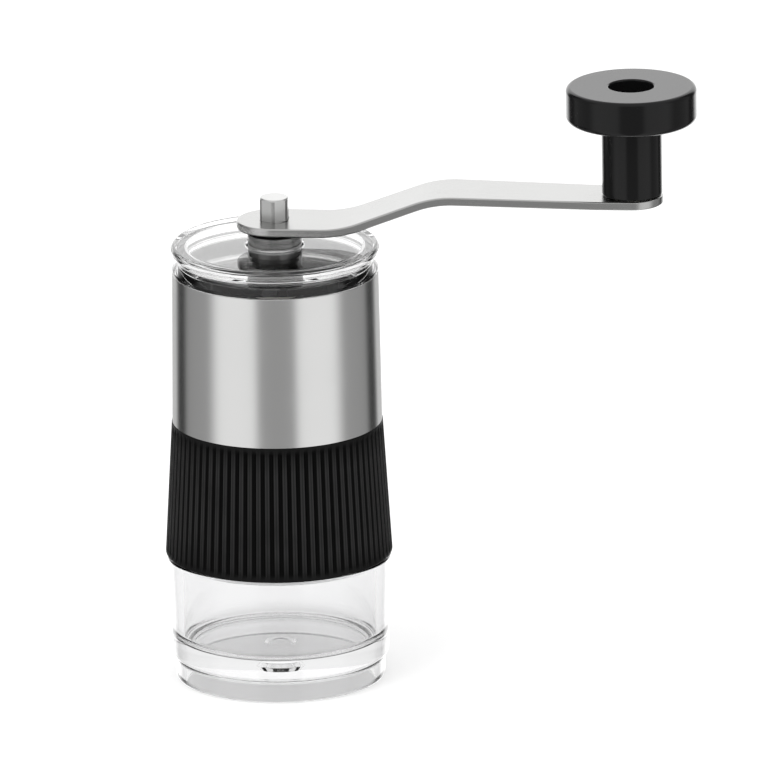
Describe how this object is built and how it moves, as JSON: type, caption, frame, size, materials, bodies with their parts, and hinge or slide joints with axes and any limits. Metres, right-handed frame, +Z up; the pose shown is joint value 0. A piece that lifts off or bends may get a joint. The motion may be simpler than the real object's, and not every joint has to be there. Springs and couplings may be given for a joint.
{
  "type": "hand crank coffee grinder",
  "caption": "Slim hand crank coffee grinder: steel-sleeved hopper with ribbed grip, conical burrs, lift-off crank arm with knob, clear lid and screw-on clear jar.",
  "frame": {"origin": "centre of the jar's flat foot ring, on the shaft's axis", "axes": "+Z up along the shaft, +X along the crank arm towards the knob at rest"},
  "size_m": [0.1426, 0.0602, 0.164],
  "materials": {
    "hopper_plastic": "moulded black plastic, fine satin",
    "sleeve_steel": "satin stainless steel, fine brushing around the sleeve",
    "grip_silicone": "soft matt black silicone",
    "bush_plastic": "natural white acetal",
    "ceramic": null,
    "screw_steel": "bright zinc-plated steel",
    "shaft_steel": "turned stainless steel",
    "spring_steel": "drawn spring wire",
    "washer_plastic": "black nylon",
    "insert_brass": "turned brass",
    "arm_steel": "satin stainless steel plate with tumbled edges",
    "knob_plastic": "polished black plastic",
    "clear_plastic": "clear polished plastic",
    "seal_silicone": "translucent white silicone"
  },
  "bodies": {
    "body": {"hopper_body": "hopper_plastic", "steel_sleeve": "sleeve_steel", "grip_sleeve": "grip_silicone", "upper_bridge": "hopper_plastic", "upper_bush": "bush_plastic", "lower_bush": "bush_plastic", "outer_burr": "ceramic", "burr_retainer": "hopper_plastic", "retainer_screws": "screw_steel"},
    "shaft": {"drive_shaft": "shaft_steel", "shaft_collar": "shaft_steel", "collar_washer": "washer_plastic", "shaft_clip": "spring_steel", "thrust_washer": "shaft_steel", "burr_spring": "spring_steel"},
    "burr": {"inner_burr": "ceramic", "burr_driver": "hopper_plastic"},
    "adjuster": {"adjuster_nut": "hopper_plastic", "nut_insert": "insert_brass"},
    "arm": {"crank_arm": "arm_steel", "knob_axle": "screw_steel", "knob_washer": "bush_plastic"},
    "knob": {"knob": "knob_plastic"},
    "lid": {"lid": "clear_plastic"},
    "seal": {"jar_seal": "seal_silicone"},
    "jar": {"jar": "clear_plastic"}
  },
  "joints": [
    {"name": "crank_turn", "type": "hinge", "parent": "body", "child": "shaft", "pos_m": [0, 0, 0.09], "axis": [0, 0, 1], "continuous": true},
    {"name": "burr_shift", "type": "slide", "parent": "shaft", "child": "burr", "axis": [0, 0, -1], "range_m": [-0.0008, 0.0016], "deforming": ["burr_spring"]},
    {"name": "adjuster_turn", "type": "hinge", "parent": "burr", "child": "adjuster", "pos_m": [0, 0, 0.044], "axis": [0, 0, -1], "range_deg": [-360, 720]},
    {"name": "arm_lift", "type": "slide", "parent": "shaft", "child": "arm", "axis": [0, 0, 1], "range_m": [0, 0.06]},
    {"name": "knob_turn", "type": "hinge", "parent": "arm", "child": "knob", "pos_m": [0.0952, 0, 0.15], "axis": [0, 0, 1], "continuous": true},
    {"name": "lid_lift", "type": "slide", "parent": "body", "child": "lid", "axis": [0, 0, 1], "range_m": [0, 0.03]},
    {"name": "jar_turn", "type": "hinge", "parent": "body", "child": "seal", "pos_m": [0, 0, 0.0465], "axis": [0, 0, -1], "range_deg": [0, 450]},
    {"name": "jar_drop", "type": "slide", "parent": "seal", "child": "jar", "axis": [0, 0, -1], "range_m": [0, 0.005]}
  ],
  "couplings": [
    {"joint": "adjuster_turn", "follows": "burr_shift", "rad_per_m": 7854},
    {"joint": "lid_lift", "follows": "arm_lift", "ratio": 0.5},
    {"joint": "jar_drop", "follows": "jar_turn", "m_per_rad": 0.0006366}
  ]
}
